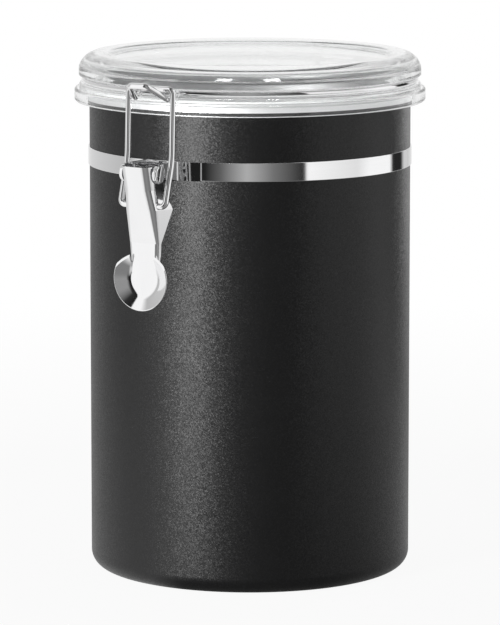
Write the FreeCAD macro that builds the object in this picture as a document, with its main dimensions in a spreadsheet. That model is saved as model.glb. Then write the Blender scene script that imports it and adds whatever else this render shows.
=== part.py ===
"""Clamp-lid food canister: a drawn steel can with a clear hinged lid and an over-centre wire clamp.

Millimetres, +Z up, origin at the centre of the base. The clamp is at the front (-Y) and the lid's hinge at
the rear (+Y). Front pieces are drawn on +Y and turned half round to the front.
"""
import FreeCAD
import Part
import math
import os
import Sketcher

from FreeCAD import Placement, Rotation, Vector

SIZES = (
    # can
    ("body_radius", 63.5),
    ("body_wall", 0.6),
    ("body_height", 190.4),
    ("base_fillet", 6.4),
    ("rim_hem_height", 4.2),
    # band
    ("band_drop", 28.7),
    ("band_height", 7.2),
    ("band_thickness", 0.5),
    ("band_edge_round", 0.2),
    ("skin_clearance", 0.05),
    # brackets on the band, front and rear
    ("sheet_thickness", 0.8),
    ("ear_clearance", 0.4),
    ("wing_angle", 9.0),
    ("fold_radius", 0.9),
    ("pivot_standoff", 14.0),
    ("hinge_standoff", 12.5),
    # lever pin
    ("pin_diameter", 3.0),
    ("pin_head_diameter", 6.8),
    ("pin_head_thickness", 0.85),
    ("pin_head_round", 0.5),
    ("pin_head_gap", 0.05),
    ("pivot_clearance", 0.05),
    # lever
    ("lever_width", 13.0),
    ("lever_edge_round", 3.5),
    ("lever_top_rise", 3.0),
    ("lever_top_front", 6.5),
    ("lever_top_back", 3.4),
    ("lever_straight_drop", 6.0),
    ("lever_waist_drop", 14.0),
    ("lever_waist_back", 7.1),
    ("lever_waist_splay", 2.8),
    ("lever_neck_drop", 27.0),
    ("lever_neck_set_back", 0.7),
    ("lever_neck_depth", 1.8),
    ("lever_neck_round", 1.7),
    ("lever_neck_splay", 0.5),
    ("bail_pivot_drop", 12.4),
    ("bail_pivot_set_back", 0.5),
    # thumb paddle
    ("paddle_neck_gap", 1.6),
    ("paddle_diameter", 24.6),
    ("paddle_set_back", 1.0),
    ("paddle_flat_radius", 6.6),
    ("paddle_rim_rise", 2.9),
    ("paddle_dish_round", 4.5),
    ("paddle_mouth_width", 11.0),
    ("paddle_fade_drop", 10.0),
    # wires
    ("wire_diameter", 2.4),
    ("wire_bend_radius", 2.0),
    # bail
    ("bail_side_clearance", 0.3),
    ("bail_end_past", 1.3),
    ("bail_bar_offset", 0.9),
    ("bail_bar_lift", 4.2),
    ("bail_knee_offset", 0.9),
    ("bail_knee_rise", 5.1),
    ("bail_knee_bend_radius", 30.0),
    # lid, from the gasket upwards and from the groove outwards
    ("shoulder_height", 1.5),
    ("shoulder_depth", 3.5),
    ("shoulder_round", 0.8),
    ("groove_floor_step", 0.5),
    ("groove_clearance", 0.2),
    ("bulge_depth", 3.7),
    ("bulge_height", 8.8),
    ("bulge_round", 7.0),
    ("crest_width", 10.8),
    ("disc_recess", 1.7),
    ("disc_slope", 2.3),
    ("disc_round", 2.8),
    ("skirt_step", 1.9),
    ("skirt_top_drop", 0.6),
    ("skirt_drop", 3.55),
    ("skirt_round", 1.0),
    ("skirt_clearance", 1.1),
    ("lid_wall", 2.6),
    ("lid_inner_round", 0.9),
    ("lip_clearance", 3.1),
    ("lip_drop", 1.0),
    ("lip_thickness", 2.4),
    # gasket
    ("gasket_height", 2.2),
    ("gasket_clearance", 0.15),
    ("gasket_round", 0.5),
    # lid wire
    ("wire_ring_clearance", 0.15),
    ("catch_run", 2.85),
    ("catch_ramp", 2.1),
    ("catch_drop", 2.4),
    ("catch_side", 2.6),
    ("catch_flare", 0.9),
    ("catch_tip_run", 9.7),
    ("catch_tip_rise", 5.8),
    ("catch_tip_taper", 3.5),
    ("yoke_clearance", 1.7),
    ("yoke_run", 7.25),
    ("hinge_end_past", 1.7),
)

# Places worked out from the sizes, as expressions in their names.
BAND_BOTTOM = "( body_height - band_drop )"
PIVOT_HEIGHT = f"( {BAND_BOTTOM} + band_height / 2 )"
PIVOT_REACH = "( body_radius + pivot_standoff )"
HINGE_REACH = "( body_radius + hinge_standoff )"
BAIL_REACH = f"( {PIVOT_REACH} - bail_pivot_set_back )"
EAR_INSIDE = "( lever_width / 2 + ear_clearance )"
EAR_OUTSIDE = f"( {EAR_INSIDE} + sheet_thickness )"
PADDLE_DROP = "( lever_neck_drop + paddle_neck_gap + paddle_diameter / 2 )"
PIN_END = f"( {EAR_OUTSIDE} + pin_head_gap + pin_head_thickness )"
SEAT = "( body_height + gasket_height )"
GROOVE_HALF = "( wire_diameter / 2 + groove_clearance )"
GROOVE_HEIGHT = f"( {SEAT} + shoulder_height + {GROOVE_HALF} )"
GROOVE_FLOOR = "( body_radius + groove_floor_step )"
RING_RADIUS = f"( {GROOVE_FLOOR} + wire_ring_clearance + wire_diameter / 2 )"
VALLEY_REACH = f"( {RING_RADIUS} + catch_run + catch_ramp )"
VALLEY_HEIGHT = f"( {GROOVE_HEIGHT} - catch_drop )"
BAIL_HALF_WIDTH = f"( {PIN_END} + bail_side_clearance + wire_diameter / 2 )"
VALLEY_HALF_WIDTH = f"( {BAIL_HALF_WIDTH} - catch_side )"
SKIRT_INSIDE = "( body_radius + body_wall + skirt_clearance )"
LIP_RADIUS = "( body_radius - body_wall - lip_clearance )"
ALIASES = {alias for alias, _ in SIZES}
TURNED_TO_FRONT = Rotation(Vector(0, 0, 1), 180)

doc = FreeCAD.newDocument("food_canister")
sheet = doc.addObject("Spreadsheet::Sheet", "sizes")
for row, (alias, number) in enumerate(SIZES, start=1):
    sheet.set(f"A{row}", alias)
    sheet.set(f"B{row}", str(number))
    sheet.setAlias(f"B{row}", alias)
doc.recompute()


def size(expression):
    """The value in millimetres of an expression in the sheet's aliases."""
    return float(sheet.evalExpression(expression))


def bound(expression):
    """The same expression with every alias written as the sheet's cell, for binding."""
    words = []
    for word in expression.split():
        bare = word.strip("()")
        words.append(word.replace(bare, f"sizes.{bare}") if bare in ALIASES else word)
    return " ".join(words)


def origin_plane(body, role):
    for feature in body.Origin.OriginFeatures:
        if feature.Role == role:
            return feature
    raise ValueError(role)


def new_sketch(body, plane, up=None, out=None):
    """A sketch on one of the body's own planes, its origin moved along the sketch's Y or out of the plane."""
    sketch = body.newObject("Sketcher::SketchObject", body.Label + "_sketch")
    sketch.AttachmentSupport = [(origin_plane(body, plane), "")]
    sketch.MapMode = "FlatFace"
    for axis, expression in (("y", up), ("z", out)):
        if expression:
            sketch.setExpression(f"AttachmentOffset.Base.{axis}", bound(expression))
    return sketch


def fix_point(sketch, index, position, across, up):
    """Hold a point of the sketch at its distances from the origin, or on an axis where a distance is 0."""
    for kind, axis, expression in (("DistanceX", -2, across), ("DistanceY", -1, up)):
        if expression == "0":
            sketch.addConstraint(Sketcher.Constraint("PointOnObject", index, position, axis))
            continue
        distance = Sketcher.Constraint(kind, -1, 1, index, position, size(expression))
        constraint = sketch.addConstraint(distance)
        sketch.setExpression(f"Constraints[{constraint}]", bound(expression))


def outline(sketch, corners):
    """A closed outline through corners (across, up[, rounding]), each given as expressions of the sheet."""
    spots = [Vector(size(c[0]), size(c[1]), 0) for c in corners]
    count = len(corners)
    rounds = [corner[2] if len(corner) > 2 else None for corner in corners]
    starts, ends, arcs = [], [], []
    for i, spot in enumerate(spots):
        if not rounds[i]:
            starts.append(spot)
            ends.append(spot)
            arcs.append(None)
            continue
        back = (spots[i - 1] - spot).normalize()
        ahead = (spots[(i + 1) % count] - spot).normalize()
        half = back.getAngle(ahead) / 2
        reach = size(rounds[i]) / math.tan(half)
        middle = spot + (back + ahead).normalize() * (size(rounds[i]) * (1 / math.sin(half) - 1))
        ends.append(spot + back * reach)
        starts.append(spot + ahead * reach)
        arcs.append(Part.Arc(ends[-1], middle, starts[-1]))
    lines = []
    for i in range(count):
        ahead = (i + 1) % count
        if (ends[ahead] - starts[i]).dot(spots[ahead] - spots[i]) <= 0:
            raise ValueError(f"{sketch.Name}: the roundings at corners {i} and {ahead} run into each other")
        lines.append(sketch.addGeometry(Part.LineSegment(starts[i], ends[ahead])))
    for i, corner in enumerate(corners):
        before, after = lines[i - 1], lines[i]
        if arcs[i] is None:
            sketch.addConstraint(Sketcher.Constraint("Coincident", before, 2, after, 1))
            fix_point(sketch, after, 1, corner[0], corner[1])
            continue
        point = sketch.addGeometry(Part.Point(spots[i]), True)
        fix_point(sketch, point, 1, corner[0], corner[1])
        sketch.addConstraint(Sketcher.Constraint("PointOnObject", point, 1, before))
        sketch.addConstraint(Sketcher.Constraint("PointOnObject", point, 1, after))
        arc = sketch.addGeometry(arcs[i])
        first, last = arc_ends(sketch, arc, ends[i])
        sketch.addConstraint(Sketcher.Constraint("Tangent", before, 2, arc, first))
        sketch.addConstraint(Sketcher.Constraint("Tangent", after, 1, arc, last))
        radius = sketch.addConstraint(Sketcher.Constraint("Radius", arc, size(rounds[i])))
        sketch.setExpression(f"Constraints[{radius}]", bound(rounds[i]))


def arc_ends(sketch, arc, begin):
    """Which end of a sketched arc, 1 or 2, lies at the given spot, and the other."""
    if sketch.getPoint(arc, 1).distanceToPoint(begin) < sketch.getPoint(arc, 2).distanceToPoint(begin):
        return 1, 2
    return 2, 1


def new_body(label):
    body = doc.addObject("PartDesign::Body", label)
    body.Label = label
    return body


def turn(body, sketch, axis):
    """A full turn of the sketch about its own V_Axis or H_Axis."""
    feature = body.newObject("PartDesign::Revolution", body.Label + "_turn")
    feature.Profile = sketch
    feature.ReferenceAxis = (sketch, [axis])
    feature.Angle = 360
    doc.recompute()


def revolved(label, corners):
    """A body turned about the canister's axis from an outline of (radius, height) corners."""
    body = new_body(label)
    sketch = new_sketch(body, "XZ_Plane")
    outline(sketch, corners)
    turn(body, sketch, "V_Axis")
    return body


def pocket(body, sketch, width):
    """A cut to both sides of its sketch, which has to take material away."""
    before = body.Shape.Volume
    feature = body.newObject("PartDesign::Pocket", body.Label + "_pocket")
    feature.Profile = sketch
    feature.Midplane = True
    feature.setExpression("Length", bound(width))
    doc.recompute()
    if body.Shape.Volume >= before:
        raise ValueError(f"{feature.Name} cuts nothing")
    return feature


def body_shell():
    """Drawn can with a rounded base and a hem folded outward at the rim."""
    revolved("body_shell", (
        ("0", "0"),
        ("body_radius", "0", "base_fillet"),
        ("body_radius", "body_height - rim_hem_height"),
        ("body_radius + body_wall", "body_height - rim_hem_height", "body_wall / 2"),
        ("body_radius + body_wall", "body_height", "body_wall / 2"),
        ("body_radius - body_wall", "body_height"),
        ("body_radius - body_wall", "body_wall", "base_fillet - body_wall"),
        ("0", "body_wall"),
    ))


def band():
    """Polished strip round the can, under both brackets."""
    inside = "body_radius + skin_clearance"
    outside = "body_radius + skin_clearance + band_thickness"
    band_top = f"{BAND_BOTTOM} + band_height"
    revolved("band", (
        (inside, BAND_BOTTOM),
        (outside, BAND_BOTTOM, "band_edge_round"),
        (outside, band_top, "band_edge_round"),
        (inside, band_top),
    ))


def primitive(kind, name, **expressions):
    feature = doc.addObject(f"Part::{kind}", name)
    for prop, expression in expressions.items():
        feature.setExpression(prop.replace("_at_", ".Base."), bound(expression))
    return feature


def boolean(kind, name, base, tool):
    feature = doc.addObject(f"Part::{kind}", name)
    feature.Base = base
    feature.Tool = tool
    return feature


def bracket(label, side, turned, reach, bore):
    """Folded angle on the band: a curved wing against it and a rounded ear that carries a pivot.

    side is +1 or -1 for the ear's place along X, turned puts the bracket at the front, and reach is the
    pivot's distance from the can's axis.
    """
    wing_inside = "( body_radius + band_thickness + 2 * skin_clearance )"
    wing_outside = f"( {wing_inside} + sheet_thickness )"
    level = {"Height": "band_height", "Placement_at_z": BAND_BOTTOM}
    start = math.degrees(math.asin(size(EAR_INSIDE) / size(wing_outside)))
    wing_from = 90 - start - size("wing_angle") if side > 0 else 90 + start
    outer = primitive("Cylinder", label + "_outer", Radius=wing_outside, Angle="wing_angle", **level)
    outer.Placement.Rotation = Rotation(Vector(0, 0, 1), wing_from)
    inner = primitive("Cylinder", label + "_inner", Radius=wing_inside, **level)
    wing = boolean("Cut", label + "_wing", outer, inner)
    root = f"sqrt( {wing_inside} ^ 2 - {EAR_INSIDE} ^ 2 )"
    ear_x = EAR_INSIDE if side > 0 else f"0 - {EAR_OUTSIDE}"
    blade = primitive("Box", label + "_blade", Length="sheet_thickness", Width=f"{reach} - {root}",
                      Placement_at_x=ear_x, Placement_at_y=root, **level)
    pivot = {"Placement_at_x": ear_x, "Placement_at_y": reach, "Placement_at_z": PIVOT_HEIGHT}
    tip = primitive("Cylinder", label + "_tip", Radius="band_height / 2", Height="sheet_thickness", **pivot)
    hole = primitive("Cylinder", label + "_hole", Radius=bore, Height="sheet_thickness", **pivot)
    for drum in (tip, hole):
        drum.Placement.Rotation = Rotation(Vector(0, 1, 0), 90)
    ear = boolean("Cut", label + "_ear", boolean("Fuse", label + "_arm", blade, tip), hole)
    sharp = boolean("Fuse", label + "_sharp", wing, ear)
    doc.recompute()
    whole = doc.addObject("Part::Fillet", label)
    whole.Label = label
    whole.Base = sharp
    whole.Edges = [(fold_edge(sharp.Shape, side), size("fold_radius"), size("fold_radius"))]
    if turned:
        whole.Placement = Placement(Vector(), TURNED_TO_FRONT)


def fold_edge(shape, side):
    """The number of the upright edge in the corner where the wing's face runs into the ear's outer face."""
    corner_x = side * size(EAR_OUTSIDE)
    upright = []
    for number, edge in enumerate(shape.Edges, start=1):
        middle = edge.CenterOfMass
        if edge.BoundBox.ZLength > size("band_height") * 0.9 and abs(middle.x - corner_x) < 1e-4:
            upright.append((middle.y, number))
    return min(upright)[1]


def brackets():
    """Two angles at the front carry the lever's pin, two at the rear the ends of the lid's wire."""
    pin_bore = "pin_diameter / 2 + pivot_clearance"
    wire_bore = "wire_diameter / 2 + pivot_clearance"
    for name, side in (("left", 1), ("right", -1)):
        bracket(f"latch_bracket_{name}", side, True, PIVOT_REACH, pin_bore)
    for name, side in (("left", -1), ("right", 1)):
        bracket(f"hinge_bracket_{name}", side, False, HINGE_REACH, wire_bore)


def lever_pin():
    """Pin with two flat, round-edged heads outside the ears."""
    body = new_body("lever_pin")
    sketch = new_sketch(body, "XZ_Plane")
    under_head = f"( {EAR_OUTSIDE} + pin_head_gap )"
    right = [
        (under_head, "pin_diameter / 2"),
        (under_head, "pin_head_diameter / 2"),
        (PIN_END, "pin_head_diameter / 2", "pin_head_round"),
        (PIN_END, "0"),
    ]
    left = [(f"0 - {corner[0]}", *corner[1:]) for corner in right]
    outline(sketch, right + left[::-1])
    turn(body, sketch, "H_Axis")
    body.setExpression("Placement.Base.y", bound(f"0 - {PIVOT_REACH}"))
    body.setExpression("Placement.Base.z", bound(PIVOT_HEIGHT))


def lever():
    """Pressed lever: a channel that opens out and grows shallow downwards, into a dished round paddle."""
    body = new_body("lever")
    centre = f"( {PIVOT_HEIGHT} - {PADDLE_DROP} )"
    plate = f"( {PIVOT_REACH} - paddle_set_back )"
    neck_front = f"( {PIVOT_REACH} - lever_neck_set_back )"
    top_front = f"( {PIVOT_REACH} + lever_top_front )"
    slope = "( lever_top_front + lever_neck_set_back ) / ( lever_top_rise + lever_neck_drop )"
    top_back = f"{PIVOT_REACH} - lever_top_back"
    straight_back = f"{PIVOT_REACH} - ( lever_top_back + lever_waist_back ) / 2"
    waist_back = f"{PIVOT_REACH} - lever_waist_back"
    neck_back = f"{neck_front} - lever_neck_depth"
    flat_top = f"{PADDLE_DROP} - paddle_flat_radius"
    sections = []
    for drop, front, back, splay, rounding in (
        ("0 - lever_top_rise", top_front, top_back, "0", "lever_edge_round"),
        ("lever_straight_drop", None, straight_back, "0", "lever_edge_round"),
        ("lever_waist_drop", None, waist_back, "lever_waist_splay", "lever_edge_round"),
        ("lever_neck_drop", neck_front, neck_back, "lever_neck_splay", "lever_neck_round"),
        (flat_top, plate, f"{plate} - lever_neck_depth", "0", "lever_neck_round"),
    ):
        face = front or f"( {top_front} - {slope} * ( lever_top_rise + {drop} ) )"
        section = new_sketch(body, "XY_Plane", out=f"{PIVOT_HEIGHT} - ( {drop} )")
        channel(section, face, back, splay, rounding)
        sections.append(section)
    loft = body.newObject("PartDesign::AdditiveLoft", "lever_channel")
    loft.Profile = sections[0]
    loft.Sections = sections[1:]
    loft.Ruled = True
    doc.recompute()
    dish(body, centre, plate)
    neck = f"( {PIVOT_HEIGHT} - lever_neck_drop )"
    forward = f"( {plate} + paddle_diameter )"
    fade_foot = f"( {neck} - paddle_fade_drop )"
    fade = new_sketch(body, "YZ_Plane")
    outline(fade, (
        (neck_front, neck),
        (forward, neck),
        (forward, fade_foot),
        (f"{plate} + paddle_rim_rise", fade_foot),
    ))
    pocket(body, fade, "paddle_diameter").Label = "lever_rim_fade"
    mouth = new_sketch(body, "YZ_Plane")
    outline(mouth, (
        (neck_front, neck),
        (forward, neck),
        (forward, centre),
        (plate, centre),
        (plate, f"{centre} + paddle_flat_radius"),
    ))
    pocket(body, mouth, "paddle_mouth_width").Label = "lever_mouth"
    for name, reach, drop, radius in (
        ("pin", PIVOT_REACH, "0", "pin_diameter / 2 + pivot_clearance"),
        ("bail", BAIL_REACH, "bail_pivot_drop", "wire_diameter / 2 + pivot_clearance"),
    ):
        bore = new_sketch(body, "YZ_Plane")
        circle(bore, reach, f"{PIVOT_HEIGHT} - {drop}", radius)
        pocket(body, bore, "2 * lever_width").Label = f"lever_{name}_bore"
    body.Placement = Placement(Vector(), TURNED_TO_FRONT)


def channel(sketch, front, back, splay, rounding):
    """One section of the lever: a front face with rounded corners and two flanges, splayed at their backs."""
    half = "lever_width / 2"
    inner_round = f"{rounding} - sheet_thickness"
    right = [
        (half, front, rounding),
        (f"{half} + {splay}", back),
        (f"{half} + {splay} - sheet_thickness", back),
        (f"{half} - sheet_thickness", f"{front} - sheet_thickness", inner_round),
    ]
    left = [(f"0 - ( {corner[0]} )", *corner[1:]) for corner in right]
    outline(sketch, right + left[::-1])


def circle(sketch, across, up, radius):
    ring = sketch.addGeometry(Part.Circle(Vector(size(across), size(up), 0), Vector(0, 0, 1), size(radius)))
    fix_point(sketch, ring, 3, across, up)
    held = sketch.addConstraint(Sketcher.Constraint("Radius", ring, size(radius)))
    sketch.setExpression(f"Constraints[{held}]", bound(radius))


def dish(body, centre, plate):
    """The paddle, turned about its own axis: a flat middle and a rim that stands forward."""
    sketch = new_sketch(body, "YZ_Plane", up=centre)
    rim = "paddle_diameter / 2"
    outline(sketch, (
        (f"{plate} - sheet_thickness", "0"),
        (plate, "0"),
        (plate, "paddle_flat_radius", "paddle_dish_round"),
        (f"{plate} + paddle_rim_rise", f"{rim} - sheet_thickness / 2", "sheet_thickness / 4"),
        (f"{plate} + paddle_rim_rise - sheet_thickness / 2", rim, "sheet_thickness / 4"),
        (f"{plate} - sheet_thickness", "paddle_flat_radius + sheet_thickness / 2", "paddle_dish_round"),
    ))
    turn(body, sketch, "H_Axis")


def bent_path(points, radii):
    """Straight runs joined by tangent arcs, as a list of edges from the first point to the last."""
    edges = []
    begin = points[0]
    for before, corner, after, radius in zip(points, points[1:], points[2:], radii):
        back = (before - corner).normalize()
        ahead = (after - corner).normalize()
        half = back.getAngle(ahead) / 2
        first = corner + back * (radius / math.tan(half))
        last = corner + ahead * (radius / math.tan(half))
        middle = corner + (back + ahead).normalize() * (radius * (1 / math.sin(half) - 1))
        edges += straight(begin, first)
        edges.append(Part.Arc(first, middle, last).toShape())
        begin = last
    return edges + straight(begin, points[-1])


def straight(begin, end):
    """The straight edge between two points, or none where a bend starts at once."""
    if begin.distanceToPoint(end) < 1e-4:
        return []
    return [Part.LineSegment(begin, end).toShape()]


def wire_piece(label, edges):
    """A round wire along a path of edges, its volume tested against its section times its length."""
    path = Part.Wire(edges)
    radius = size("wire_diameter / 2")
    start = edges[0].valueAt(edges[0].FirstParameter)
    heading = edges[0].tangentAt(edges[0].FirstParameter)
    section = Part.Wire(Part.Circle(start, heading, radius).toShape())
    solid = path.makePipeShell([section], True, False)
    expected = math.pi * radius ** 2 * path.Length
    if abs(solid.Volume - expected) > 0.01 * expected:
        raise ValueError(f"{label}: volume {solid.Volume:.1f}, expected {expected:.1f}")
    piece = doc.addObject("Part::Feature", label)
    piece.Label = label
    piece.Shape = solid
    piece.Placement = Placement(Vector(), TURNED_TO_FRONT)


def mirrored(points):
    return [Vector(-p.x, p.y, p.z) for p in reversed(points)]


def bail():
    """Wire loop: ends turned into the lever's flanges, two legs with a gentle knee, a bar over the catch."""
    half = size(BAIL_HALF_WIDTH)
    reach = size(BAIL_REACH)
    foot = size(f"{PIVOT_HEIGHT} - bail_pivot_drop")
    bar_reach = size(f"{VALLEY_REACH} + bail_bar_offset")
    leg = [
        Vector(size("lever_width / 2 - sheet_thickness - bail_end_past"), reach, foot),
        Vector(half, reach, foot),
        Vector(half, bar_reach + size("bail_knee_offset"), size(f"{PIVOT_HEIGHT} + bail_knee_rise")),
        Vector(half, bar_reach, size(f"{VALLEY_HEIGHT} + bail_bar_lift")),
    ]
    bend = size("wire_bend_radius")
    radii = [bend, size("bail_knee_bend_radius"), bend]
    wire_piece("bail", bent_path(leg + mirrored(leg), radii + radii[::-1]))


def lid():
    """Clear moulding: flat disc, raised rim, wire groove, shoulder, and a skirt round the can's hem."""
    groove_top = f"( {GROOVE_HEIGHT} + {GROOVE_HALF} )"
    groove_bottom = f"( {GROOVE_HEIGHT} - {GROOVE_HALF} )"
    shoulder = f"( {GROOVE_FLOOR} + shoulder_depth )"
    skirt = f"( {shoulder} + skirt_step )"
    skirt_top = f"( {SEAT} - skirt_top_drop )"
    skirt_bottom = "( body_height - skirt_drop )"
    bulge = f"( {GROOVE_FLOOR} + bulge_depth )"
    crest = f"( {groove_top} + bulge_height )"
    crest_inner = f"( {bulge} - crest_width )"
    disc = f"( {crest} - disc_recess )"
    disc_edge = f"( {crest_inner} - disc_slope )"
    disc_under = f"( {disc} - lid_wall )"
    hollow_top = f"( {crest} - lid_wall )"
    hollow_floor = f"( {groove_top} + lid_wall )"
    hollow_outside = f"( {bulge} - lid_wall )"
    hollow_height = "( bulge_height - 2 * lid_wall )"
    inset = "( lid_wall * tan( atan( disc_recess / disc_slope ) / 2 ) )"
    neck_inside = f"( {GROOVE_FLOOR} - lid_wall )"
    lip_inside = f"( {LIP_RADIUS} - lip_thickness )"
    lip_bottom = "( body_height - lip_drop )"
    revolved("lid", (
        ("0", disc),
        (disc_edge, disc, "disc_round"),
        (crest_inner, crest, "disc_round"),
        (bulge, crest, "bulge_round"),
        (bulge, groove_top, "shoulder_round / 2"),
        (GROOVE_FLOOR, groove_top, "shoulder_round"),
        (GROOVE_FLOOR, groove_bottom, "shoulder_round"),
        (shoulder, groove_bottom, "shoulder_round"),
        (shoulder, skirt_top),
        (skirt, skirt_top, "skirt_round"),
        (skirt, skirt_bottom, "skirt_round"),
        (SKIRT_INSIDE, skirt_bottom, "skirt_round / 2"),
        (SKIRT_INSIDE, SEAT),
        (LIP_RADIUS, SEAT),
        (LIP_RADIUS, lip_bottom),
        (lip_inside, lip_bottom),
        (lip_inside, f"{SEAT} + lid_wall", "lid_inner_round"),
        (neck_inside, f"{SEAT} + lid_wall", "lid_inner_round"),
        (neck_inside, hollow_floor, "lid_inner_round"),
        (hollow_outside, hollow_floor, f"{hollow_height} / 5"),
        (hollow_outside, hollow_top, f"{hollow_height} * 3 / 4"),
        (f"{crest_inner} + {inset}", hollow_top, "lid_inner_round"),
        (f"{disc_edge} + {inset}", disc_under, "lid_inner_round"),
        ("0", disc_under),
    ))


def lid_gasket():
    """Silicone ring under the lid's seat, resting on the can's rim."""
    inside = f"( {LIP_RADIUS} + gasket_clearance )"
    outside = f"( {SKIRT_INSIDE} - gasket_clearance )"
    revolved("lid_gasket", (
        (inside, "body_height"),
        (outside, "body_height", "gasket_round"),
        (outside, SEAT),
        (inside, SEAT),
    ))


def lid_wire():
    """One wire round the lid's groove, bent out to a ramped catch in front and down to the hinge behind."""
    ring = size(RING_RADIUS)
    level = size(GROOVE_HEIGHT)
    bend = size("wire_bend_radius")
    valley_half = size(VALLEY_HALF_WIDTH)
    exit_half = valley_half + size("catch_flare")
    yoke_half = size(f"{EAR_OUTSIDE} + yoke_clearance + wire_diameter / 2")
    hinge_reach = size(HINGE_REACH)
    hinge_height = size(PIVOT_HEIGHT)
    front_start, front_corner = ring_exit(ring, level, exit_half, bend)
    rear_start, rear_corner = ring_exit(ring, level, yoke_half, bend)
    catch = [
        front_start,
        front_corner,
        Vector(exit_half, ring + size("catch_run"), level),
        Vector(valley_half, size(VALLEY_REACH), size(VALLEY_HEIGHT)),
        Vector(valley_half - size("catch_tip_taper"), size(f"{VALLEY_REACH} + catch_tip_run"),
               size(f"{VALLEY_HEIGHT} + catch_tip_rise")),
    ]
    yoke = [
        Vector(size(f"{EAR_INSIDE} - hinge_end_past"), -hinge_reach, hinge_height),
        Vector(yoke_half, -hinge_reach, hinge_height),
        Vector(yoke_half, -ring - size("yoke_run"), level),
        flipped(rear_corner),
        flipped(rear_start),
    ]
    front = catch + mirrored(catch)
    side = Part.Arc(yoke[-1], Vector(ring, 0, level), front_start)
    other_side = Part.Arc(front[-1], Vector(-ring, 0, level), mirrored(yoke)[0])
    edges = bent_path(yoke, [bend] * (len(yoke) - 2))
    edges.append(side.toShape())
    edges += bent_path(front, [bend] * (len(front) - 2))
    edges.append(other_side.toShape())
    edges += bent_path(mirrored(yoke), [bend] * (len(yoke) - 2))
    wire_piece("lid_wire", edges)


def flipped(point):
    return Vector(point.x, -point.y, point.z)


def ring_exit(ring, level, half_width, bend):
    """Where a wire leaves its ring along Y at a half width: the ring's last point and the bend's corner."""
    low, high = 0.0, math.pi / 2
    for _ in range(60):
        angle = (low + high) / 2
        turn = math.pi / 2 - angle
        corner_x = ring * math.sin(angle) - bend * math.tan(turn / 2) * math.cos(angle)
        if corner_x < half_width:
            low = angle
        else:
            high = angle
    start = Vector(ring * math.sin(angle), ring * math.cos(angle), level)
    step = bend * math.tan((math.pi / 2 - angle) / 2)
    corner = start + Vector(-math.cos(angle), math.sin(angle), 0) * step
    return start, corner


NODES = (
    "body_shell",
    "band",
    "latch_bracket_left",
    "latch_bracket_right",
    "hinge_bracket_left",
    "hinge_bracket_right",
    "lever_pin",
    "lever",
    "bail",
    "lid",
    "lid_gasket",
    "lid_wire",
)


def main():
    for build in (body_shell, band, brackets, lever_pin, lever, bail, lid, lid_gasket, lid_wire):
        build()
    doc.recompute()
    for item in doc.Objects:
        if "Invalid" in item.State or "Error" in item.State:
            raise ValueError(f"{item.Label} failed: {item.State}")
    os.makedirs("parts", exist_ok=True)
    for node in NODES:
        shape = doc.getObjectsByLabel(node)[0].Shape
        if shape.isNull() or not shape.isValid():
            raise ValueError(f"{node} has no valid shape")
        shape.exportStep(f"parts/{node}.step")
        print(f"{node}: {len(shape.Solids)} solid, {shape.Volume:.0f} mm3")


main()
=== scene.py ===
"""Clamp-lid food canister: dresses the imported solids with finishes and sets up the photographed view."""
import math

import bmesh
import bpy
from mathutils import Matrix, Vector


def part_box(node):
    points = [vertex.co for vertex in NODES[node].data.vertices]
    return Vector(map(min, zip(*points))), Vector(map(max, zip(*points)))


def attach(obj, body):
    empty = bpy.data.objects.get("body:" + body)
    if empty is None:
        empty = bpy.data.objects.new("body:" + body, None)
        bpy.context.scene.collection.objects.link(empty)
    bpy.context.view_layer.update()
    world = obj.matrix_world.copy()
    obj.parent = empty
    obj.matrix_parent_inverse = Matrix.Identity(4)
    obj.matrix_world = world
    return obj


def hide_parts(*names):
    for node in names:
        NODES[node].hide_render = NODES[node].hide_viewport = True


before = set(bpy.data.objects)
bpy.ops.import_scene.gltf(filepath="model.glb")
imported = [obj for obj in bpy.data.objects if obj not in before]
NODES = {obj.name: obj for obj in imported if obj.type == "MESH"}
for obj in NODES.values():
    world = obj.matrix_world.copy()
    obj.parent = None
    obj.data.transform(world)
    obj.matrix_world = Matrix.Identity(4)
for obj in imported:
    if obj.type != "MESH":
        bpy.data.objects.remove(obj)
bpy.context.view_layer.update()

bl_info = {
    "name": "Clamp-lid canister",
    "version": (1, 0, 0),
    "blender": (4, 5, 0),
    "location": "View3D > Sidebar > Canister",
    "description": "Finishes, clear lid and studio for a clamp-lid food canister",
    "category": "Object",
}

CAN_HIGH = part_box("body_shell")[1]
BAND_LOW, BAND_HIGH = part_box("band")
LID_LOW, LID_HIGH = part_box("lid")
GASKET_LOW, GASKET_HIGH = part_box("lid_gasket")
BRIGHT_NODES = ("lever", "lever_pin", "bail", "lid_wire", "latch_bracket_left", "latch_bracket_right",
                "hinge_bracket_left", "hinge_bracket_right")
MM = 0.001
# Revolved meshes: sides, turn between an arc's points, turn at which an edge stays sharp, and the radius
# below which a point lies on the axis.
SPIN_STEPS = 240
ARC_STEP = math.radians(5)
SHARP_TURN = math.radians(32)
ON_AXIS = 1e-9
# A straight run longer than the first length gets points at the second length from its ends.
FLAT_RUN, FLAT_END = 0.7 * MM, 0.1 * MM
# Soft lamps: width and height, rise above the canister's middle, and level distance from its axis.
STRIP_SIZE, STRIP_RISE = (0.24, 0.36), math.radians(4)
GLINT_SIZE, GLINT_RISE = (0.22, 0.4), math.radians(36)
LAMP_AWAY = 1.1
FLOOR_REACH = 3.0
FLOOR_WHITE, FLOOR_ROUGHNESS = 0.9, 0.9
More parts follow.
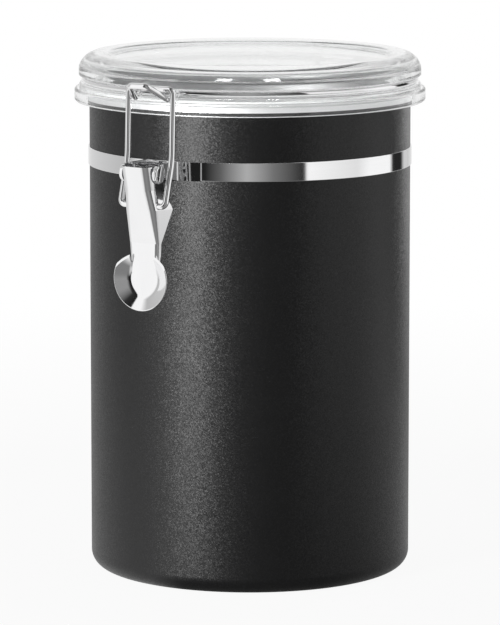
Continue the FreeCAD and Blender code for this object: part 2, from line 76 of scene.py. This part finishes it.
# Brightness of the studio's soft boxes and dark cards, by degrees from the clamp's side towards +X.
# In front, the walls differ from the floor.
LEFT_SIDES = ((-180, 0.6), (-150, 0.95), (-120, 0.7), (-58, 0.5), (-44, 1.0), (-21, 1.0), (-18, 0.01))
FRONT_FLOOR = ((1, 0.015), (12, 0.12), (30, 0.45), (48, 0.18), (70, 0.02))
FRONT_WALLS = ((1, 0.03), (18, 0.3), (34, 0.3), (70, 0.02))
RIGHT_SIDES = ((72, 1.0), (112, 0.8), (124, 1.0), (148, 1.0), (152, 0.02), (166, 0.02), (172, 0.65))
FLOOR_SIDES = LEFT_SIDES + FRONT_FLOOR + RIGHT_SIDES
WALL_SIDES = LEFT_SIDES + FRONT_WALLS + RIGHT_SIDES
# The same for the floor close to the canister, and how far from its axis the one fades into the other.
NEAR_SIDES = ((-180, 0.5), (-36, 1.0), (-8, 1.0), (6, 0.2), (60, 0.2), (150, 0.8))
NEAR_FLOOR = (0.3, 0.75)
# How far from its axis the canister's shadow on the floor fades out.
SHADOW_FADE = (0.25, 0.7)
# Height of a direction, as its sine, from which the sides fade into the ceiling.
CEILING_EDGE = (0.82, 0.94)
# Light turns this often inside the clear lid's walls before it comes out.
LID_BOUNCES = 32
# Flakes, paint clouds, polishing lines, smears, hairlines and silicone grain, per metre.
FLAKE_SCALE, CLOUD_SCALE = 2900.0, 60.0
LINE_SCALE, SMEAR_SCALE = 900.0, 45.0
HAIRLINE_SCALE, GRAIN_SCALE = 700.0, 1200.0
# Heights of the orange peel, the polishing lines and the silicone grain.
PEEL_HEIGHT, LINE_HEIGHT, GRAIN_HEIGHT = 0.05 * MM, 0.02 * MM, 0.03 * MM
# Share of the flakes that have the paint's own colour, and how far paint and steel swing in roughness.
DULL_FLAKES = 0.55
PAINT_SWING, STEEL_SWING = 0.04, 0.3
# How bright the steel's smears and the painted shade in the silicone's hollows are, against the rest.
SMEAR_DIM, HOLLOW_SHADE_DIM = 0.95, 0.94
# Roughness of the lid's hairlines, and the noise values between which they come up.
SCRATCH_ROUGHNESS, SCRATCH_EDGE = 0.006, (0.55, 0.85)
# The can's wall is this many times its edges' rounding.
WALL_TO_ROUND = 2.2
# The colour mix node's sockets.
MIX_SHARE, MIX_FIRST, MIX_SECOND, MIX_RESULT = 0, 6, 7, 2


def length(name, description, default):
    return bpy.props.FloatProperty(
        name=name, description=description, default=default, unit="LENGTH", precision=5)


def colour(name, description, default):
    return bpy.props.FloatVectorProperty(
        name=name, description=description, default=default, subtype="COLOR", size=3, min=0, max=1)


def amount(name, description, default):
    return bpy.props.FloatProperty(
        name=name, description=description, default=default, subtype="FACTOR", min=0, max=1)


def power(name, description, default):
    return bpy.props.FloatProperty(
        name=name, description=description, default=default, unit="POWER", min=0, max=500)


def turn(name, description, degrees):
    return bpy.props.FloatProperty(
        name=name, description=description, default=math.radians(degrees), subtype="ANGLE")


class CanisterSizes(bpy.types.PropertyGroup):
    """Sizes of the pieces that are modelled here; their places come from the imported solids."""
    can_wall: length("Can wall", "Thickness of the drawn steel", 0.6 * MM)
    base_fillet: length("Base fillet", "Rounding between the base and the wall", 6.4 * MM)
    hem_height: length("Hem height", "Height of the hem at the rim", 4.2 * MM)
    paint_lap: length("Paint lap", "How far the paint comes up the hem", 2.0 * MM)
    band_thickness: length("Band thickness", "Thickness of the polished band", 0.5 * MM)
    band_edge: length("Band edge", "Rounding of the band's edges", 0.2 * MM)
    lid_wall: length("Lid wall", "Wall of the moulded lid", 2.6 * MM)
    lid_inner_round: length("Inner rounding", "Rounding inside the lid", 0.9 * MM)
    disc_recess: length("Disc recess", "Depth of the disc under the crest", 1.7 * MM)
    disc_slope: length("Disc slope", "Width of the rise from the disc to the crest", 2.3 * MM)
    disc_round: length("Disc rounding", "Rounding at both ends of that rise", 2.8 * MM)
    crest_width: length("Crest width", "From the crest's inner edge to the rim's widest part", 10.8 * MM)
    bulge_depth: length("Bulge depth", "How far the rim stands out from the groove", 3.7 * MM)
    bulge_round: length("Bulge rounding", "Rounding over the lid's rim", 7.0 * MM)
    groove_half: length("Groove half height", "Half of the wire groove's opening", 1.4 * MM)
    shoulder_height: length("Shoulder height", "From the gasket's seat to the groove", 1.5 * MM)
    shoulder_depth: length("Shoulder depth", "How far the shoulder stands out from the groove", 3.5 * MM)
    shoulder_round: length("Shoulder rounding", "Rounding of the groove's edges", 0.8 * MM)
    skirt_step: length("Skirt step", "How far the skirt stands out from the shoulder", 1.9 * MM)
    skirt_top_drop: length("Skirt top", "From the gasket's seat down to the skirt's top", 0.6 * MM)
    skirt_round: length("Skirt rounding", "Rounding of the skirt's edges", 1.0 * MM)
    skirt_clearance: length("Skirt clearance", "Room between the can's hem and the skirt", 1.1 * MM)
    lip_clearance: length("Lip clearance", "Room between the can's inside and the lip", 3.1 * MM)
    lip_drop: length("Lip drop", "How far the lip hangs into the can", 1.0 * MM)
    lip_thickness: length("Lip thickness", "Thickness of the lip that holds the gasket", 2.4 * MM)
    gasket_clearance: length("Gasket clearance", "Room between the lip and the gasket", 0.15 * MM)
    gasket_round: length("Gasket rounding", "Rounding of the gasket's lower edge", 0.5 * MM)
    gasket_gap: length("Gasket gap", "Hair of air between the gasket and what presses on it", 0.05 * MM)


class CanisterFinish(bpy.types.PropertyGroup):
    """Colours and roughness of the finishes."""
    paint: colour("Paint", "Dark body paint", (0.003, 0.003, 0.0032))
    flake: colour("Flake", "Metal flake in the paint", (0.008, 0.008, 0.0084))
    flake_lean: amount("Flake lean", "How far the flakes lean from the surface", 0.18)
    paint_roughness: amount("Paint roughness", "Roughness of the paint", 0.4)
    paint_gloss: amount("Paint gloss", "Specular level of the paint", 0.38)
    steel: colour("Steel", "Polished steel", (0.93, 0.93, 0.935))
    steel_roughness: amount("Steel roughness", "Roughness of the polished steel", 0.07)
    wire_roughness: amount("Wire roughness", "Roughness of the drawn wires and the pin", 0.03)
    inside_roughness: amount("Inside roughness", "Roughness of the can's bare inside", 0.45)
    clear: colour("Clear plastic", "Tint of the lid", (0.91, 0.915, 0.915))
    silicone: colour("Silicone", "Gasket", (0.84, 0.85, 0.85))


class CanisterStudio(bpy.types.PropertyGroup):
    """Camera and light."""
    azimuth: turn("Azimuth", "Camera's turn from the clamp's side", 32.1)
    distance: length("Distance", "Camera's level distance from the can's axis", 1.763)
    height: length("Height", "Camera's height above the floor", 0.373)
    aim_height: length("Aim height", "Height of the point in the middle of the picture", 0.1014)
    lens: bpy.props.FloatProperty(
        name="Lens", description="Focal length in millimetres", default=257.8, unit="CAMERA")
    sky: amount("Sky", "Level of the soft light from all round", 0.3)
    ceiling: amount("Ceiling", "Level of the ceiling that bright metal mirrors", 0.12)
    floor_glow: amount("Floor glow", "Share of the floor beside the canister that shows no shadow", 0.93)
    key_turn: turn("Key turn", "Key light's turn from the clamp's side", -8.5)
    key_power: power("Key power", "Soft light beside the clamp", 10.0)
    edge_turn: turn("Edge turn", "Edge light's turn from the clamp's side", 178)
    edge_power: power("Edge power", "Soft light behind", 0.65)
    left_glint_turn: turn("Left glint turn", "Turn of the lamp for the lid's left glint", 13.7)
    right_glint_turn: turn("Right glint turn", "Turn of the lamp for the lid's right glint", 47.9)
    glint_power: power("Glint power", "Soft light that only the lid shows", 6.0)


def sizes():
    return bpy.context.scene.canister_sizes


def finish():
    return bpy.context.scene.canister_finish


def studio():
    return bpy.context.scene.canister_studio


# Materials

def new_material(name):
    material = bpy.data.materials.new(name)
    material.use_nodes = True
    tree = material.node_tree
    return material, tree, tree.nodes["Principled BSDF"]


def add(tree, kind, **values):
    """A node with its properties or sockets set by name."""
    node = tree.nodes.new(kind)
    for key, value in values.items():
        if hasattr(node, key):
            setattr(node, key, value)
        else:
            node.inputs[key].default_value = value
    return node


def object_place(tree, stretch=(1, 1, 1)):
    place = add(tree, "ShaderNodeTexCoord")
    mapping = add(tree, "ShaderNodeMapping")
    mapping.inputs["Scale"].default_value = stretch
    tree.links.new(place.outputs["Object"], mapping.inputs["Vector"])
    return mapping.outputs["Vector"]


def spread(tree, value, low, high, source_low=0.0, source_high=1.0):
    """A value from a source range spread over another range."""
    node = add(tree, "ShaderNodeMapRange")
    node.inputs["From Min"].default_value = source_low
    node.inputs["From Max"].default_value = source_high
    node.inputs["To Min"].default_value = low
    node.inputs["To Max"].default_value = high
    tree.links.new(value, node.inputs["Value"])
    return node.outputs["Result"]


def grey(level):
    return (level, level, level)


def colour_mix(tree, share, first, second):
    """What lies between two colours by a share. Each is a plain colour or a node's output."""
    node = add(tree, "ShaderNodeMix", data_type="RGBA")
    tree.links.new(share, node.inputs[MIX_SHARE])
    for socket, value in ((MIX_FIRST, first), (MIX_SECOND, second)):
        if isinstance(value, bpy.types.NodeSocket):
            tree.links.new(value, node.inputs[socket])
        else:
            node.inputs[socket].default_value = (*value, 1)
    return node.outputs[MIX_RESULT]


def bump(tree, shader, value, strength, distance):
    node = add(tree, "ShaderNodeBump", Strength=strength, Distance=distance)
    tree.links.new(value, node.inputs["Height"])
    tree.links.new(node.outputs["Normal"], shader.inputs["Normal"])
    return node


def flake_paint():
    """Dark matte paint over a slight orange peel, with fine metal flakes that each lean their own way."""
    material, tree, shader = new_material("flake_paint")
    place = object_place(tree)
    flakes = add(tree, "ShaderNodeTexVoronoi", Scale=FLAKE_SCALE)
    tree.links.new(place, flakes.inputs["Vector"])
    channel = add(tree, "ShaderNodeSeparateColor")
    tree.links.new(flakes.outputs["Color"], channel.inputs["Color"])
    shine = spread(tree, channel.outputs["Red"], 0.0, 1.0, source_low=DULL_FLAKES)
    tree.links.new(colour_mix(tree, shine, finish().paint, finish().flake), shader.inputs["Base Color"])
    clouds = add(tree, "ShaderNodeTexNoise", Scale=CLOUD_SCALE, Detail=4.0)
    tree.links.new(place, clouds.inputs["Vector"])
    least, most = finish().paint_roughness - PAINT_SWING, finish().paint_roughness + PAINT_SWING
    tree.links.new(spread(tree, clouds.outputs["Fac"], least, most), shader.inputs["Roughness"])
    shader.inputs["Specular IOR Level"].default_value = finish().paint_gloss
    peel = bump(tree, shader, clouds.outputs["Fac"], strength=0.1, distance=PEEL_HEIGHT)
    tree.links.new(leaning(tree, flakes.outputs["Color"], finish().flake_lean), peel.inputs["Normal"])
    return material


def leaning(tree, colour_value, lean):
    """The surface's normal, tipped by a random colour."""
    tip = add(tree, "ShaderNodeVectorMath", operation="SUBTRACT")
    tip.inputs[1].default_value = grey(0.5)
    tree.links.new(colour_value, tip.inputs[0])
    scaled = add(tree, "ShaderNodeVectorMath", operation="SCALE", Scale=lean)
    tree.links.new(tip.outputs[0], scaled.inputs[0])
    tipped = add(tree, "ShaderNodeVectorMath", operation="ADD")
    tree.links.new(add(tree, "ShaderNodeNewGeometry").outputs["Normal"], tipped.inputs[0])
    tree.links.new(scaled.outputs[0], tipped.inputs[1])
    unit = add(tree, "ShaderNodeVectorMath", operation="NORMALIZE")
    tree.links.new(tipped.outputs[0], unit.inputs[0])
    return unit.outputs[0]


def polished_steel(name, roughness, stretch, relief):
    """Bright steel with faint polishing lines of a relief across the stretched axis."""
    material, tree, shader = new_material(name)
    shader.inputs["Metallic"].default_value = 1.0
    place = object_place(tree, stretch)
    lines = add(tree, "ShaderNodeTexNoise", Scale=LINE_SCALE, Detail=3.0)
    tree.links.new(place, lines.inputs["Vector"])
    smears = add(tree, "ShaderNodeTexNoise", Scale=SMEAR_SCALE, Detail=2.0)
    tree.links.new(place, smears.inputs["Vector"])
    smeared = [part * SMEAR_DIM for part in finish().steel]
    steel = colour_mix(tree, smears.outputs["Fac"], smeared, finish().steel)
    tree.links.new(steel, shader.inputs["Base Color"])
    least, most = roughness * (1 - STEEL_SWING), roughness * (1 + STEEL_SWING)
    tree.links.new(spread(tree, lines.outputs["Fac"], least, most), shader.inputs["Roughness"])
    bump(tree, shader, lines.outputs["Fac"], relief, LINE_HEIGHT)
    return material


def clear_plastic():
    """Clear glossy moulding with hairline scratches."""
    material, tree, shader = new_material("clear_plastic")
    shader.inputs["Base Color"].default_value = (*finish().clear, 1)
    shader.inputs["Transmission Weight"].default_value = 1.0
    shader.inputs["IOR"].default_value = 1.49
    place = object_place(tree, stretch=(1, 0.06, 1))
    hairlines = add(tree, "ShaderNodeTexNoise", Scale=HAIRLINE_SCALE, Detail=2.0)
    tree.links.new(place, hairlines.inputs["Vector"])
    scratched = spread(tree, hairlines.outputs["Fac"], 0.0, SCRATCH_ROUGHNESS, *SCRATCH_EDGE)
    tree.links.new(scratched, shader.inputs["Roughness"])
    return material


def silicone():
    """Milky soft gasket with a faint moulded grain and painted shade in the grain's hollows."""
    material, tree, shader = new_material("silicone")
    place = object_place(tree)
    grain = add(tree, "ShaderNodeTexNoise", Scale=GRAIN_SCALE, Detail=3.0)
    tree.links.new(place, grain.inputs["Vector"])
    # The silicone's colour is dimmed where the grain's bump is low: painted shade in the hollows.
    shaded_hollows = [part * HOLLOW_SHADE_DIM for part in finish().silicone]
    milky = colour_mix(tree, grain.outputs["Fac"], shaded_hollows, finish().silicone)
    tree.links.new(milky, shader.inputs["Base Color"])
    tree.links.new(spread(tree, grain.outputs["Fac"], low=0.42, high=0.55), shader.inputs["Roughness"])
    bump(tree, shader, grain.outputs["Fac"], strength=0.1, distance=GRAIN_HEIGHT)
    return material


# Meshes

def rounded(corners):
    """Points of an outline of (radius, height, rounding) corners, open at both ends."""
    points = []
    for i, corner in enumerate(corners):
        spot = Vector(corner[:2])
        rounding = corner[2] if len(corner) > 2 else 0
        if not rounding:
            points.append(spot)
            continue
        back = (Vector(corners[i - 1][:2]) - spot).normalized()
        ahead = (Vector(corners[i + 1][:2]) - spot).normalized()
        half = back.angle(ahead) / 2
        centre = spot + (back + ahead).normalized() * (rounding / math.sin(half))
        first = spot + back * (rounding / math.tan(half)) - centre
        sweep = first.angle_signed(spot + ahead * (rounding / math.tan(half)) - centre)
        count = max(2, math.ceil(abs(sweep) / ARC_STEP))
        for step in range(count + 1):
            angle = -sweep * step / count
            c, s = math.cos(angle), math.sin(angle)
            points.append(centre + Vector((first.x * c - first.y * s, first.x * s + first.y * c)))
    return flat_ends(points)


def flat_ends(points):
    """The outline with points close to its straight runs' ends, so that smooth shading keeps these flat."""
    held = [points[0]]
    for before, after in zip(points, points[1:]):
        run = after - before
        if run.length > FLAT_RUN:
            held += [before + run.normalized() * FLAT_END, after - run.normalized() * FLAT_END]
        held.append(after)
    return held


def spun(name, points, materials, first_material_to=None):
    """A solid of revolution from an outline that starts and ends on the axis, or closes on itself off it.

    Where there are two materials, the first covers the outline up to the given point.
    """
    mesh = bpy.data.meshes.new(name)
    shape = bmesh.new()
    on_axis = points[0].x < ON_AXIS
    rings = []
    for point in points:
        if point.x < ON_AXIS:
            rings.append([shape.verts.new((0, 0, point.y))])
            continue
        ring = []
        for step in range(SPIN_STEPS):
            angle = math.tau * step / SPIN_STEPS
            ring.append(shape.verts.new((point.x * math.cos(angle), point.x * math.sin(angle), point.y)))
        rings.append(ring)
    pairs = list(zip(range(len(rings)), range(1, len(rings))))
    if not on_axis:
        pairs.append((len(rings) - 1, 0))
    for a, b in pairs:
        kind = 1 if first_material_to is not None and a >= first_material_to else 0
        for step in range(SPIN_STEPS):
            ahead = (step + 1) % SPIN_STEPS
            corners = [rings[a][step % len(rings[a])], rings[a][ahead % len(rings[a])],
                       rings[b][ahead % len(rings[b])], rings[b][step % len(rings[b])]]
            face = shape.faces.new(list(dict.fromkeys(corners)))
            face.material_index = kind
            face.smooth = True
    bmesh.ops.recalc_face_normals(shape, faces=shape.faces)
    shape.to_mesh(mesh)
    shape.free()
    mesh.set_sharp_from_angle(angle=SHARP_TURN)
    for material in materials:
        mesh.materials.append(material)
    piece = bpy.data.objects.new(name, mesh)
    bpy.context.scene.collection.objects.link(piece)
    return piece


def dress(node, material):
    """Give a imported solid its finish."""
    piece = NODES[node]
    piece.data.materials.clear()
    piece.data.materials.append(material)


class CANISTER_OT_can(bpy.types.Operator):
    """Painted can with a bare steel hem and inside"""
    bl_idname = "canister.can"
    bl_label = "Can"

    def execute(self, context):
        s = sizes()
        hem, top = CAN_HIGH[0], CAN_HIGH[2]
        radius = hem - s.can_wall
        inner = radius - s.can_wall
        hem_foot = top - s.hem_height
        soft = s.can_wall / WALL_TO_ROUND
        outline = rounded((
            (0, 0),
            (radius, 0, s.base_fillet),
            (radius, hem_foot),
            (hem, hem_foot, soft),
            (hem, hem_foot + s.paint_lap),
            (hem, top, soft),
            (inner, top, soft),
            (inner, s.can_wall, s.base_fillet - s.can_wall),
            (0, s.can_wall),
        ))
        bare = polished_steel("bare_steel", finish().inside_roughness, stretch=(1, 1, 8), relief=0.004)
        last_painted = outline.index(Vector((hem, hem_foot + s.paint_lap)))
        piece = spun("painted_can", outline, (flake_paint(), bare), last_painted)
        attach(piece, "can")
        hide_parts("body_shell")
        return {"FINISHED"}


class CANISTER_OT_clear_lid(bpy.types.Operator):
    """Clear moulded lid: disc, raised rim, wire groove, shoulder and skirt, with an even wall"""
    bl_idname = "canister.clear_lid"
    bl_label = "Clear lid"

    def execute(self, context):
        s = sizes()
        skirt, crest, skirt_bottom = LID_HIGH[0], LID_HIGH[2], LID_LOW[2]
        rim, seat = CAN_HIGH[2], GASKET_HIGH[2]
        skirt_top = seat - s.skirt_top_drop
        skirt_inside = CAN_HIGH[0] + s.skirt_clearance
        shoulder = skirt - s.skirt_step
        groove_floor = shoulder - s.shoulder_depth
        groove_bottom = seat + s.shoulder_height
        groove_top = groove_bottom + 2 * s.groove_half
        bulge = groove_floor + s.bulge_depth
        crest_inner = bulge - s.crest_width
        disc, disc_edge = crest - s.disc_recess, crest_inner - s.disc_slope
        lip = lip_radius()
        lip_inside, lip_bottom = lip - s.lip_thickness, rim - s.lip_drop
        neck_inside = groove_floor - s.lid_wall
        hollow_floor, hollow_top = groove_top + s.lid_wall, crest - s.lid_wall
        hollow_outside = bulge - s.lid_wall
        hollow_height = hollow_top - hollow_floor
        low_round, high_round = hollow_height / 5, hollow_height * 3 / 4
        inset = s.lid_wall * math.tan(math.atan2(s.disc_recess, s.disc_slope) / 2)
        piece = spun("clear_lid", rounded((
            (0, disc),
            (disc_edge, disc, s.disc_round),
            (crest_inner, crest, s.disc_round),
            (bulge, crest, s.bulge_round),
            (bulge, groove_top, s.shoulder_round / 2),
            (groove_floor, groove_top, s.shoulder_round),
            (groove_floor, groove_bottom, s.shoulder_round),
            (shoulder, groove_bottom, s.shoulder_round),
            (shoulder, skirt_top),
            (skirt, skirt_top, s.skirt_round),
            (skirt, skirt_bottom, s.skirt_round),
            (skirt_inside, skirt_bottom, s.skirt_round / 2),
            (skirt_inside, seat),
            (lip, seat),
            (lip, lip_bottom),
            (lip_inside, lip_bottom),
            (lip_inside, seat + s.lid_wall, s.lid_inner_round),
            (neck_inside, seat + s.lid_wall, s.lid_inner_round),
            (neck_inside, hollow_floor, s.lid_inner_round),
            (hollow_outside, hollow_floor, low_round),
            (hollow_outside, hollow_top, high_round),
            (crest_inner + inset, hollow_top, s.lid_inner_round),
            (disc_edge + inset, disc - s.lid_wall, s.lid_inner_round),
            (0, disc - s.lid_wall),
        )), (clear_plastic(),))
        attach(piece, "lid")
        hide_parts("lid")
        return {"FINISHED"}


def lip_radius():
    """Outside of the lid's lip, a clearance inside the can."""
    return CAN_HIGH[0] - 2 * sizes().can_wall - sizes().lip_clearance


class CANISTER_OT_gasket(bpy.types.Operator):
    """Silicone ring under the lid"""
    bl_idname = "canister.gasket"
    bl_label = "Gasket"

    def execute(self, context):
        s = sizes()
        gap = s.gasket_gap
        inside = lip_radius() + s.gasket_clearance
        outside = GASKET_HIGH[0]
        top = GASKET_HIGH[2] - gap
        low = GASKET_LOW[2] + gap
        outline = rounded((
            (inside, low),
            (outside, low, s.gasket_round),
            (outside, top, gap),
            (inside, top),
        ))
        piece = spun("silicone_gasket", outline, (silicone(),))
        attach(piece, "lid")
        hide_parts("lid_gasket")
        return {"FINISHED"}


class CANISTER_OT_band(bpy.types.Operator):
    """Polished band and the brackets that sit on it"""
    bl_idname = "canister.band"
    bl_label = "Band and brackets"

    def execute(self, context):
        s = sizes()
        outside, inside = BAND_HIGH[0], BAND_HIGH[0] - s.band_thickness
        outline = rounded((
            (inside, BAND_LOW[2]),
            (outside, BAND_LOW[2], s.band_edge),
            (outside, BAND_HIGH[2], s.band_edge),
            (inside, BAND_HIGH[2]),
        ))
        steel = polished_steel("polished_steel", finish().steel_roughness, stretch=(1, 1, 12), relief=0.02)
        piece = spun("polished_band", outline, (steel,))
        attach(piece, "can")
        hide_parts("band")
        for place in ("latch", "hinge"):
            for side in ("left", "right"):
                dress(f"{place}_bracket_{side}", steel)
        return {"FINISHED"}


class CANISTER_OT_clamp(bpy.types.Operator):
    """Lever, pin and the two bent wires"""
    bl_idname = "canister.clamp"
    bl_label = "Clamp"

    def execute(self, context):
        pressed = polished_steel("pressed_steel", finish().steel_roughness, stretch=(6, 6, 1), relief=0.01)
        drawn = polished_steel("drawn_wire", finish().wire_roughness, stretch=(1, 1, 1), relief=0.003)
        dress("lever", pressed)
        for node in ("lever_pin", "bail", "lid_wire"):
            dress(node, drawn)
        return {"FINISHED"}


class CANISTER_OT_stage(bpy.types.Operator):
    """White floor, soft light and the camera"""
    bl_idname = "canister.stage"
    bl_label = "Stage"

    def execute(self, context):
        white_world()
        white_floor()
        strip_light("key", studio().key_turn, studio().key_power)
        strip_light("edge", studio().edge_turn, studio().edge_power)
        lid_glint("left_glint", studio().left_glint_turn, studio().glint_power)
        lid_glint("right_glint", studio().right_glint_turn, studio().glint_power)
        photograph_camera()
        context.scene.view_settings.view_transform = "Standard"
        light_paths = context.scene.cycles
        light_paths.max_bounces = LID_BOUNCES
        light_paths.glossy_bounces = LID_BOUNCES
        light_paths.transmission_bounces = LID_BOUNCES
        return {"FINISHED"}


def side_level(tree, direction, sides):
    """How bright the studio's side in a direction is: its soft boxes, its dark front and the gaps between."""
    axes = add(tree, "ShaderNodeSeparateXYZ")
    tree.links.new(direction, axes.inputs[0])
    front = add(tree, "ShaderNodeMath", operation="MULTIPLY")
    front.inputs[1].default_value = -1.0
    tree.links.new(axes.outputs["Y"], front.inputs[0])
    azimuth = add(tree, "ShaderNodeMath", operation="ARCTAN2")
    tree.links.new(axes.outputs["X"], azimuth.inputs[0])
    tree.links.new(front.outputs[0], azimuth.inputs[1])
    ramp = add(tree, "ShaderNodeValToRGB")
    tree.links.new(spread(tree, azimuth.outputs[0], 0.0, 1.0, -math.pi, math.pi), ramp.inputs["Fac"])
    stops = ramp.color_ramp.elements
    while len(stops) < len(sides):
        stops.new(0.5)
    for stop, (degrees, level) in zip(stops, sides):
        stop.position = degrees / 360 + 0.5
        stop.color = (*grey(level), 1)
    return ramp.outputs["Color"]


def backdrop(tree, mirrored_level, dim):
    """White to camera and clear rays, the studio's sides to mirror rays, and dim to the rest."""
    path = add(tree, "ShaderNodeLightPath")
    mirrored = colour_mix(tree, path.outputs["Is Glossy Ray"], grey(dim), mirrored_level)
    through = add(tree, "ShaderNodeMath", operation="MAXIMUM")
    tree.links.new(path.outputs["Is Camera Ray"], through.inputs[0])
    tree.links.new(path.outputs["Is Transmission Ray"], through.inputs[1])
    return colour_mix(tree, through.outputs[0], mirrored, grey(1.0))


def white_world():
    world = bpy.data.worlds.new("white_room")
    bpy.context.scene.world = world
    world.use_nodes = True
    tree = world.node_tree
    place = add(tree, "ShaderNodeTexCoord")
    direction = place.outputs["Generated"]
    axes = add(tree, "ShaderNodeSeparateXYZ")
    tree.links.new(direction, axes.inputs[0])
    height = spread(tree, axes.outputs["Z"], 0.0, 1.0, *CEILING_EDGE)
    level = colour_mix(tree, height, side_level(tree, direction, WALL_SIDES), grey(studio().ceiling))
    tree.links.new(backdrop(tree, level, studio().sky), tree.nodes["Background"].inputs["Color"])


def white_floor():
    mesh = bpy.data.meshes.new("floor")
    corners = [(x * FLOOR_REACH, y * FLOOR_REACH, 0) for x, y in ((-1, -1), (1, -1), (1, 1), (-1, 1))]
    mesh.from_pydata(corners, [], [(0, 1, 2, 3)])
    floor = bpy.data.objects.new("floor", mesh)
    bpy.context.scene.collection.objects.link(floor)
    material, tree, shader = new_material("white_floor")
    shader.inputs["Base Color"].default_value = (*grey(FLOOR_WHITE), 1)
    shader.inputs["Roughness"].default_value = FLOOR_ROUGHNESS
    glow = add(tree, "ShaderNodeEmission")
    place = add(tree, "ShaderNodeTexCoord").outputs["Object"]
    away = add(tree, "ShaderNodeVectorMath", operation="LENGTH")
    tree.links.new(place, away.inputs[0])
    far = spread(tree, away.outputs["Value"], 0.0, 1.0, *NEAR_FLOOR)
    near_level = side_level(tree, place, NEAR_SIDES)
    level = colour_mix(tree, far, near_level, side_level(tree, place, FLOOR_SIDES))
    tree.links.new(backdrop(tree, level, 0.0), glow.inputs["Color"])
    path = add(tree, "ShaderNodeLightPath")
    shows = add(tree, "ShaderNodeMath", operation="MULTIPLY")
    tree.links.new(spread(tree, path.outputs["Is Diffuse Ray"], 1.0, 0.0), shows.inputs[0])
    unshadowed = spread(tree, away.outputs["Value"], studio().floor_glow, 1.0, *SHADOW_FADE)
    tree.links.new(unshadowed, shows.inputs[1])
    mix = add(tree, "ShaderNodeMixShader")
    tree.links.new(shows.outputs[0], mix.inputs[0])
    tree.links.new(shader.outputs[0], mix.inputs[1])
    tree.links.new(glow.outputs[0], mix.inputs[2])
    tree.links.new(mix.outputs[0], tree.nodes["Material Output"].inputs["Surface"])
    mesh.materials.append(material)


def soft_lamp(name, angle, watts, size, rise):
    """A soft lamp that faces the canister from a turn round its axis and a rise above its middle."""
    light = bpy.data.lights.new(name, "AREA")
    light.shape = "RECTANGLE"
    light.size, light.size_y = size
    light.energy = watts
    lamp = bpy.data.objects.new(name, light)
    bpy.context.scene.collection.objects.link(lamp)
    middle = Vector((0, 0, LID_HIGH[2] / 2))
    lamp.location = middle + Vector((math.sin(angle), -math.cos(angle), math.tan(rise))) * LAMP_AWAY
    lamp.rotation_euler = (middle - lamp.location).to_track_quat("-Z", "Y").to_euler()
    lamp.visible_camera = False
    lamp.visible_transmission = False
    return lamp


def strip_light(name, angle, watts):
    """A strip that lights the painted can, and that the bright pieces neither show nor block."""
    lamp = soft_lamp(name, angle, watts, STRIP_SIZE, STRIP_RISE)
    lamp.light_linking.receiver_collection = bright_pieces()
    lamp.light_linking.blocker_collection = bright_pieces()


def lid_glint(name, angle, watts):
    """A soft lamp that only the clear lid shows."""
    shown_by = bpy.data.collections.new(name)
    shown_by.objects.link(bpy.data.objects["clear_lid"])
    lamp = soft_lamp(name, angle, watts, GLINT_SIZE, GLINT_RISE)
    lamp.light_linking.receiver_collection = shown_by


def bright_pieces():
    """The clamp, the band and the clear lid, marked so that a lamp leaves them out."""
    pieces = bpy.data.collections.new("bright_pieces")
    for node in BRIGHT_NODES:
        pieces.objects.link(NODES[node])
    for name in ("polished_band", "clear_lid"):
        pieces.objects.link(bpy.data.objects[name])
    for entry in pieces.collection_objects:
        entry.light_linking.link_state = "EXCLUDE"
    return pieces


def photograph_camera():
    view = studio()
    data = bpy.data.cameras.new("photograph")
    data.lens = view.lens
    data.sensor_width = 36.0
    camera = bpy.data.objects.new("photograph", data)
    bpy.context.scene.collection.objects.link(camera)
    across, ahead = math.sin(view.azimuth), -math.cos(view.azimuth)
    spot = Vector((across * view.distance, ahead * view.distance, view.height))
    camera.location = spot
    camera.rotation_euler = (Vector((0, 0, view.aim_height)) - spot).to_track_quat("-Z", "Y").to_euler()
    bpy.context.scene.camera = camera


class CANISTER_PT_panel(bpy.types.Panel):
    """Lists the canister's pieces"""
    bl_label = "Canister"
    bl_idname = "CANISTER_PT_panel"
    bl_space_type = "VIEW_3D"
    bl_region_type = "UI"
    bl_category = "Canister"

    def draw(self, context):
        for operator in OPERATORS:
            self.layout.operator(operator.bl_idname)
        for group in (sizes(), finish(), studio()):
            for name in group.__annotations__:
                self.layout.prop(group, name)


GROUPS = (CanisterSizes, CanisterFinish, CanisterStudio)
OPERATORS = (CANISTER_OT_can, CANISTER_OT_band, CANISTER_OT_clear_lid, CANISTER_OT_gasket, CANISTER_OT_clamp,
             CANISTER_OT_stage)


def register():
    for kind in GROUPS + OPERATORS + (CANISTER_PT_panel,):
        bpy.utils.register_class(kind)
    bpy.types.Scene.canister_sizes = bpy.props.PointerProperty(type=CanisterSizes)
    bpy.types.Scene.canister_finish = bpy.props.PointerProperty(type=CanisterFinish)
    bpy.types.Scene.canister_studio = bpy.props.PointerProperty(type=CanisterStudio)


def unregister():
    for name in ("canister_sizes", "canister_finish", "canister_studio"):
        delattr(bpy.types.Scene, name)
    for kind in reversed(GROUPS + OPERATORS + (CANISTER_PT_panel,)):
        bpy.utils.unregister_class(kind)


def main():
    register()
    bpy.ops.canister.can()
    bpy.ops.canister.band()
    bpy.ops.canister.clear_lid()
    bpy.ops.canister.gasket()
    bpy.ops.canister.clamp()
    bpy.ops.canister.stage()


if __name__ == "__main__":
    main()
